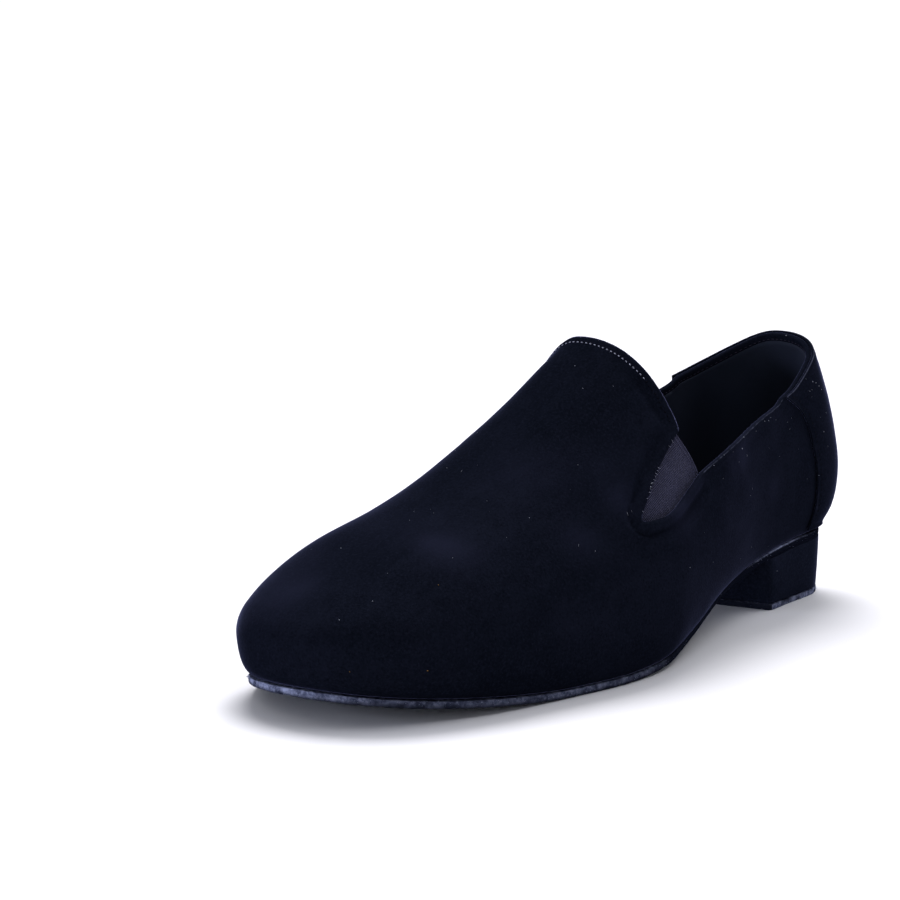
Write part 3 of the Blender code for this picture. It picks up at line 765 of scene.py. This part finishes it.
def make_counter(suede):
    """Overlay round the back: skived along its front and lower edges, with a stitched channel."""
    mesh = merged_copy("heel_counter")
    crease_rims(mesh, RIM_CREASE)
    mark_skins(mesh)
    mesh = subdivided(mesh, FINE)
    loop = max(rim_loops(mesh, OUTER, lambda point: abs(point.x)), key=len)
    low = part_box("heel_counter")[0]
    front, top = [], []
    for part in split_row(loop):
        corner = min(part, key=lambda p: p.y)
        front += [p for p in part if low.z + 4 * MM < p.z < corner.z - 0.3 * MM]
        top += [p for p in part if p.z >= corner.z - 0.3 * MM]
    foot = [p for p in loop if p.z <= low.z + 4 * MM]
    collar, edge, bottom = tree_of(top), tree_of(front), tree_of(foot)
    near_edge = mesh.verts.layers.float.new("near_edge")
    outer = {v for face in mesh.faces if face.material_index == OUTER for v in face.verts}
    moves = {}
    for vert in mesh.verts:
        push = 0.0
        from_edge = edge.find(vert.co)[2]
        from_top = collar.find(vert.co)[2]
        from_foot = bottom.find(vert.co)[2]
        # Pale worn line with a painted highlight along the counter's top and front edges.
        vert[near_edge] = max(NEAR_LIMIT - min(from_top, from_edge + 0.25 * MM) / MM, 0.0)
        if vert in outer:
            push += soft_lumps(vert.co)
            push -= SKIVED * (1 - ramp_up(from_edge, 0.0, 1.6 * MM))
            push -= SKIVED * (1 - ramp_up(from_foot, 0.0, 7.0 * MM))
            push -= 0.40 * MM * bell(from_edge, SEAM_SETBACK, 0.6 * MM)
            push += 0.22 * MM * bell(from_top, FOLDED_EDGE, 1.4 * MM)
        moves[vert] = vert.normal * max(push, -0.9 * MM)
    for vert, move in moves.items():
        vert.co += move
    mesh.normal_update()
    skin = skin_tree(mesh, OUTER)
    for face in mesh.faces:
        face.material_index = 0
    piece = add_piece("suede_counter", mesh, "navy_suede", suede)
    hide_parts("heel_counter")
    return piece, front, skin


def make_gores(webbing):
    skins = {}
    for side in ("outer", "inner"):
        mesh = merged_copy("gore_" + side)
        crease_rims(mesh, 0.9)
        mark_skins(mesh)
        mesh = subdivided(mesh, FINE)
        skins[side] = skin_tree(mesh, OUTER)
        for face in mesh.faces:
            face.material_index = 0
        piece = add_piece("webbing_gore_" + side, mesh, "elastic", webbing)
        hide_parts("gore_" + side)
    return skins


def sole_heights():
    """Lowest and highest point of the outsole in each short stretch along the shoe."""
    heights = {}
    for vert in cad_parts["outsole"].data.vertices:
        here = round(vert.co.y / STRETCH)
        for near in (here - 1, here, here + 1):
            low, high = heights.get(near, (1.0, -1.0))
            heights[near] = (min(low, vert.co.z), max(high, vert.co.z))
    return heights


def edge_wear_and_light(place, normal):
    """How pale the sole's edge is, from the table: rubbed nap, its lower part darker as painted shadow, and
    over the heel only its top corner pale as a painted highlight.
    """
    low, high = CAD_BOX
    along = (place.y - low.y) / (high.y - low.y)
    shares = [row[0] for row in EDGE_WEAR_AND_LIGHT]
    k = min(bisect(shares, along), len(shares) - 1)
    before, after = (dict(zip(EDGE_WEAR_AND_LIGHT_COLUMNS, EDGE_WEAR_AND_LIGHT[i])) for i in (max(k - 1, 0), k))
    gap = max(after["place"] - before["place"], 1e-6)
    t = min(max((along - before["place"]) / gap, 0.0), 1.0)
    side = "outer" if place.x > 0 else "inner"
    wear = before[side] + (after[side] - before[side]) * t
    # In front of the heel the lower part of the edge is darker, a painted shadow.
    if along < HEEL_HIGHLIGHT_FROM:
        bottom, top = SOLE_HEIGHTS.get(round(place.y / STRETCH), (0.0, 1.0))
        wear *= 0.15 + 0.85 * ramp_up((place.z - bottom) / (top - bottom), 0.15, 0.60)
    # Over the heel only faces turned up stay pale, a painted highlight.
    if along > HEEL_HIGHLIGHT_FROM:
        wear *= ramp_up(normal.z, 0.05, 0.55)
    return wear


def heel_wear(place, normal):
    """How rubbed the heel's top piece is: not at the breast, and unevenly round its other sides."""
    if normal.y < -0.4:
        return 0.03
    low = 1 - ramp_up(place.z, 1.5 * MM, 3.2 * MM)
    return low * (0.50 + 0.7 * noise.noise(place * 190.0))


def round_edges(mesh, edges, width, segments):
    bmesh.ops.bevel(mesh, geom=edges, offset=width, segments=segments, profile=0.5, affect="EDGES",
                    material=-1)


def softened(node, name, slot, material, bevel, levels, lumps, wear=None, corner=0.0):
    """A plate or block with rounded edges and a slightly uneven surface. corner: its upright ones."""
    mesh = merged_copy(node)
    limit = math.radians(EDGE_ANGLE)
    if corner:
        upright = [edge for edge in mesh.edges if edge.calc_face_angle(0.0) > limit
                   and abs((edge.verts[0].co - edge.verts[1].co).normalized().z) > 0.8]
        round_edges(mesh, upright, corner, 3)
    rims = [edge for edge in mesh.edges if edge.calc_face_angle(0.0) > limit]
    round_edges(mesh, rims, bevel, 2)
    crease = mesh.edges.layers.float.new("crease_edge")
    for edge in mesh.edges:
        if edge.calc_face_angle(0.0) > math.radians(SOFT_EDGE_ANGLE):
            edge[crease] = BLOCK_CREASE if corner else PLATE_CREASE
    mesh = subdivided(mesh, levels)
    if wear:
        worn = mesh.verts.layers.float.new("worn")
        tread = mesh.verts.layers.float.new("tread")
        for vert in mesh.verts:
            vert[worn] = wear(vert.co, vert.normal)
            vert[tread] = ramp_up(-vert.normal.z, 0.75, 0.97)
    for vert in mesh.verts:
        vert.co += vert.normal * lumps * noise.noise(vert.co * 420.0)
    mesh.normal_update()
    piece = add_piece(name, mesh, slot, material)
    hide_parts(node)
    return piece


def inset_row(points, skin, inset, pitch, towards):
    """Points on a skin, an inset from an edge on the side it names, with normals and directions."""
    found = []
    even = even_points(points, pitch)
    for before, point, after in zip(even, even[1:], even[2:]):
        along = (after - before).normalized()
        place, normal, _, _ = skin.find_nearest(point)
        across = normal.cross(along).normalized()
        if across.dot(towards) < 0:
            across = -across
        place, normal, _, _ = skin.find_nearest(point + across * inset)
        found.append((place, normal, along))
    return found


def frame_at(place, normal, along):
    """Matrix whose X runs along a row and whose Z stands off the surface."""
    side = normal.cross(along).normalized()
    return Matrix.Translation(place) @ Matrix((side.cross(normal), side, normal)).transposed().to_4x4()


def bead(mesh, spot, reach, half_width, half_height):
    """A rounded bead of thread; its reach runs along the row."""
    size = Matrix.Diagonal((reach, half_width, half_height, 1.0))
    bmesh.ops.create_uvsphere(mesh, u_segments=8, v_segments=6, radius=1.0, matrix=spot @ size)


def stitch_row(name, row, material, length, thickness):
    """One joined mesh of short stitches that dip into the suede."""
    mesh = bmesh.new()
    for place, normal, along in row:
        spot = frame_at(place + normal * thickness * 0.12, normal, along)
        bead(mesh, spot, length / 2, thickness / 2, thickness * 0.42)
    add_piece(name, mesh, "navy_suede", material)


def make_stitches(rows, skins, inner_top, counter, pale, dark):
    """Pale stitches over the tab's crest, dark ones down its sides, along the seam and inside."""
    _, front, counter_skin = counter
    tab = rows["tab", "inner"][::-1] + rows["tab", "outer"][1:]
    row = inset_row(tab, skins["outside"], TAB_STITCH_INSET, TAB_STITCH_PITCH, Vector((0.0, -1.0, -0.2)))
    crest = [r for r in row if r[0].z > TAB_CREST]
    stitch_row("tab_stitches", crest, pale, 0.90 * MM, 0.46 * MM)
    stitch_row("tab_side_stitches", [r for r in row if r not in crest], dark, 1.1 * MM, 0.50 * MM)
    back_rows = [p for p in inner_top if p.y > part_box("gore_outer")[1].y + 4 * MM]
    row = inset_row(back_rows, skins["inside"], COLLAR_STITCH_INSET, 2.1 * MM, Vector((0.0, -0.3, -1.0)))
    stitch_row("collar_stitches", row, thread_finish("collar thread", COLLAR_THREAD), 1.3 * MM, 0.30 * MM)
    for k, part in enumerate(split_row(front)):
        row = inset_row(part, counter_skin, SEAM_SETBACK, 1.9 * MM, Vector((0.0, 1.0, 0.0)))
        stitch_row("counter_stitches_%d" % (k + 1), row, dark, 1.2 * MM, 0.42 * MM)


def split_row(points):
    """A row in two, one for each side of the shoe."""
    return [[p for p in points if p.x * side > 0] for side in (1, -1)]


def fibre(mesh, place, direction, length, thickness):
    """A hair: two slender cones end to end."""
    bent = (direction + direction.orthogonal().normalized() * 0.25).normalized()
    for start, way, near, far in ((0.0, direction, 1.0, 0.7), (0.5, bent, 0.7, 0.2)):
        depth = length / 2
        middle = place + direction * length * start + way * depth / 2
        spot = Matrix.Translation(middle) @ way.to_track_quat("Z", "Y").to_matrix().to_4x4()
        bmesh.ops.create_cone(mesh, cap_ends=True, cap_tris=True, segments=3, radius1=thickness * near / 2,
                              radius2=thickness * far / 2, depth=depth, matrix=spot)


def steady(place):
    """Sorting key of a place, so that each run takes faces and corners in the same order."""
    return [round(value, 6) for value in place]


def scatter(piece, count, draw, keep):
    """Random places on a piece, with their normals, spread evenly over the faces that keep() names."""
    data = piece.data
    faces = [face for face in data.polygons if keep(face.center, face.normal)]
    faces.sort(key=lambda face: steady(face.center))
    totals = list(accumulate(face.area for face in faces))
    spots = []
    for _ in range(count):
        face = faces[min(bisect(totals, draw.random() * totals[-1]), len(faces) - 1)]
        corners = sorted((data.vertices[index].co for index in face.vertices), key=steady)
        shares = [draw.random() + 0.01 for _ in corners]
        total = sum(shares)
        place = Vector((0.0, 0.0, 0.0))
        for corner, share in zip(corners, shares):
            place += corner * (share / total)
        spots.append((place, face.normal.copy()))
    return spots


def any_direction(draw):
    return Vector((draw.gauss(0.0, 1.0), draw.gauss(0.0, 1.0), draw.gauss(0.0, 1.0))).normalized()


def make_fuzz(outsole, top_piece, nap):
    """Fibres that stand off the brushed edges of the sole and of the heel's top piece."""
    draw = random.Random(7)
    brushed = (("sole_fuzz", outsole, 2400, 1.1 * MM), ("heel_fuzz", top_piece, 420, 0.9 * MM))
    for name, piece, count, reach in brushed:
        mesh = bmesh.new()
        for place, normal in scatter(piece, count, draw, lambda c, n: abs(n.z) < 0.75):
            wear = edge_wear_and_light(place, normal) if piece is outsole else heel_wear(place, normal)
            if draw.random() > 0.04 + wear:
                continue
            way = (normal * 1.2 + any_direction(draw) * 0.8).normalized()
            way.z = max(way.z, -0.1)
            length = reach * draw.uniform(0.35, 1.0) * (0.5 + 0.5 * wear)
            if place.z + way.z * length > 0.1 * MM:
                fibre(mesh, place, way, length, draw.uniform(0.08, 0.14) * MM)
        add_piece(name, mesh, "sole_suede", nap)


def camera_ray(px, py):
    """Start and direction of the ray through a pixel of the photograph."""
    right, up, back = camera_axes()
    focal = CAMERA_LENS / SENSOR * PICTURE
    way = right * (px - PICTURE / 2) / focal - up * (py - PICTURE / 2) / focal - back
    return CAMERA_TARGET + back * CAMERA_DISTANCE, way.normalized()


def speck(mesh, place, normal, size, draw):
    """A crumb of lint: a small uneven ball pressed on the nap."""
    turn = any_direction(draw).to_track_quat("Z", "Y").to_matrix().to_4x4()
    shape = Matrix.Diagonal((size / 2, size * draw.uniform(0.3, 0.5), size * draw.uniform(0.25, 0.4), 1.0))
    bmesh.ops.create_icosphere(mesh, subdivisions=1, radius=1.0,
                               matrix=Matrix.Translation(place + normal * size * 0.15) @ turn @ shape)


def make_lint(pieces, pale, amber):
    """Specks and short threads: those that the photograph shows, and a few on every side."""
    draw = random.Random(41)
    meshes = {"pale": bmesh.new(), "amber": bmesh.new()}
    depsgraph = bpy.context.evaluated_depsgraph_get()
    trees = [BVHTree.FromObject(piece, depsgraph) for piece in pieces]
    for row in SPECKS:
        mark = dict(zip(SPECK_COLUMNS, row))
        start, way = camera_ray(mark["px"], mark["py"])
        hits = [tree.ray_cast(start, way) for tree in trees]
        hits = [hit for hit in hits if hit[0]]
        if not hits:
            continue
        place, normal, _, _ = min(hits, key=lambda hit: hit[3])
        size = mark["size"] * MM
        if mark["kind"] == "thread":
            along = (any_direction(draw).cross(normal).normalized() + normal * 0.15).normalized()
            fibre(meshes["pale"], place - along * size * 0.5, along, size * 1.6, 0.16 * MM)
        else:
            speck(meshes[mark["kind"]], place, normal, size, draw)
    for piece, count in zip(pieces, LOOSE_LINT):
        for place, normal in scatter(piece, count, draw, lambda c, n: True):
            if place.x > 0 and place.y < 0.05 and draw.random() < 0.7:
                continue
            if draw.random() < 0.3:
                along = any_direction(draw).cross(normal).normalized()
                fibre(meshes["pale"], place, along, draw.uniform(0.5, 1.3) * MM, 0.07 * MM)
            else:
                speck(meshes["pale"], place, normal, draw.uniform(0.10, 0.26) * MM, draw)
    add_piece("lint", meshes["pale"], "navy_suede", pale)
    add_piece("amber_lint", meshes["amber"], "navy_suede", amber)


def make_gore_trim(rows, skins, pale, cord):
    """Two cords along each gore's free edge, and loose overcast threads on the slot's upper edge."""
    draw = random.Random(23)
    for side in ("outer", "inner"):
        slot = rows["slot", side]
        start, end = slot[0], slot[-1]
        mesh = bmesh.new()
        low_point = min(slot, key=lambda p: p.y)
        inward = (low_point - 0.5 * (start + end)).normalized()
        for inset, thickness in ((0.25 * MM, 0.40 * MM), (SELVEDGE, 0.26 * MM)):
            steps = 26
            line = []
            for k in range(steps + 1):
                guide = start.lerp(end, k / steps) + inward * inset
                place, normal, _, _ = skins[side].find_nearest(guide)
                line.append((place, normal))
            for (a, normal), (b, _) in zip(line, line[1:]):
                if (b - a).length > MERGE:
                    spot = frame_at(0.5 * (a + b) + normal * thickness * 0.2, normal, (b - a).normalized())
                    bead(mesh, spot, (b - a).length * 0.62, thickness / 2, thickness / 2)
        add_piece("gore_cords_" + side, mesh, "elastic", cord)
        threads = bmesh.new()
        upper_part = slot[:slot.index(low_point)]
        even = even_points(upper_part, 1.5 * MM)
        for before, point, after in zip(even[4:], even[5:], even[6:]):
            if draw.random() < 0.55:
                continue
            along = (after - before).normalized()
            place, normal, _, _ = skins[side].find_nearest(point)
            across = normal.cross(along).normalized()
            way = (across + along * draw.uniform(-0.5, 0.5) + normal * 0.1).normalized()
            size = draw.uniform(0.7, 1.4) * MM
            fibre(threads, point + normal * 0.5 * MM - way * size * 0.5, way, size, 0.12 * MM)
        add_piece("gore_threads_" + side, threads, "elastic", pale)


def make_floor():
    """A white sheet so wide that its end isn't seen."""
    mesh = bmesh.new()
    bmesh.ops.create_grid(mesh, x_segments=1, y_segments=1, size=60.0)
    data = bpy.data.meshes.new("floor")
    mesh.to_mesh(data)
    mesh.free()
    shade = Shader("paper floor")
    shade.set(Base_Color=(*FLOOR, 1.0), Roughness=0.9, Specular_IOR_Level=0.0)
    data.materials.append(shade.material)
    floor = bpy.data.objects.new("floor", data)
    bpy.context.scene.collection.objects.link(floor)


def add_sun(name, towards, power, angle, colour):
    """A soft far light that shines along a direction."""
    data = bpy.data.lights.new(name, "SUN")
    data.energy = power
    data.angle = math.radians(angle)
    data.color = colour
    light = bpy.data.objects.new(name, data)
    light.rotation_euler = Vector(towards).to_track_quat("-Z", "Y").to_euler()
    bpy.context.scene.collection.objects.link(light)


def make_lights():
    """A white room, darker on the photographer's side, with a broad key from above and behind."""
    world = bpy.data.worlds.new("studio")
    world.use_nodes = True
    tree = world.node_tree
    where = tree.nodes.new("ShaderNodeTexCoord")
    facing = tree.nodes.new("ShaderNodeVectorMath")
    facing.operation = "DOT_PRODUCT"
    facing.inputs[1].default_value = ROOM_BACK
    tree.links.new(where.outputs["Generated"], facing.inputs[0])
    ramp = tree.nodes.new("ShaderNodeValToRGB")
    ramp.color_ramp.elements[0].position = 0.20
    ramp.color_ramp.elements[0].color = (ROOM_DARK, ROOM_DARK, ROOM_DARK * 1.1, 1.0)
    ramp.color_ramp.elements[1].position = 0.72
    ramp.color_ramp.elements[1].color = (1.0, 1.0, 1.0, 1.0)
    tree.links.new(facing.outputs["Value"], ramp.inputs["Fac"])
    back = tree.nodes["Background"]
    tree.links.new(ramp.outputs["Color"], back.inputs["Color"])
    back.inputs["Strength"].default_value = ROOM_POWER
    bpy.context.scene.world = world
    for row in SUNS:
        add_sun(**dict(zip(SUN_COLUMNS, row)))


def camera_axes():
    """The camera's right, up and back directions."""
    a, e, r = (math.radians(v) for v in (CAMERA_AZIMUTH, CAMERA_ELEVATION, CAMERA_ROLL))
    back = Vector((math.sin(a) * math.cos(e), -math.cos(a) * math.cos(e), math.sin(e)))
    level = Vector((math.cos(a), math.sin(a), 0.0))
    upright = back.cross(level)
    right = level * math.cos(r) + upright * math.sin(r)
    up = upright * math.cos(r) - level * math.sin(r)
    return right, up, back


def make_camera():
    right, up, back = camera_axes()
    data = bpy.data.cameras.new("camera")
    data.lens = CAMERA_LENS
    data.sensor_width = SENSOR
    data.clip_start = 0.01
    camera = bpy.data.objects.new("camera", data)
    turn = Matrix((right, up, back)).transposed().to_4x4()
    camera.matrix_world = Matrix.Translation(CAMERA_TARGET + back * CAMERA_DISTANCE) @ turn
    bpy.context.scene.collection.objects.link(camera)
    bpy.context.scene.camera = camera


SOLE_HEIGHTS = sole_heights()
make_camera()
make_floor()
make_lights()
bpy.context.scene.view_settings.view_transform = "Standard"
suede = suede_finish("suede nap")
# The heel cover is the same suede painted 1.65 times brighter: painted light for the heel, which the lamps
# leave darker than the quarter.
cover = suede_finish("heel cover nap", 1.65)
cloth = lining_finish()
sole = sole_finish()
webbing = elastic_finish()
pale = thread_finish("pale thread", PALE_THREAD)
dark = thread_finish("dark thread", DARK_THREAD)
upper, rows, inner_top, upper_skins, lining_shape = make_upper(suede)
lining = make_lining(lining_shape, inner_top, cloth)
counter = make_counter(suede)
gore_skins = make_gores(webbing)
outsole = softened("outsole", "sole_edge", "sole_suede", sole, 0.55 * MM, 2, 0.14 * MM, edge_wear_and_light)
softened("insole", "sock", "dark_lining", cloth, 0.6 * MM, 1, 0.0)
heel = softened("heel", "covered_heel", "navy_suede", cover, 0.35 * MM, 2, 0.05 * MM, corner=HEEL_CORNER)
top_piece = softened("heel_top_piece", "top_piece", "sole_suede", sole, 0.25 * MM, 2, 0.12 * MM, heel_wear,
                     HEEL_CORNER)
make_stitches(rows, upper_skins, inner_top, counter, pale, dark)
make_gore_trim(rows, gore_skins, pale, thread_finish("gore cord", CORD))
make_fuzz(outsole, top_piece, thread_finish("sole fibres", SOLE_WORN))
make_lint([upper, counter[0], lining, heel], thread_finish("lint", LINT),
          thread_finish("amber lint", AMBER_LINT))
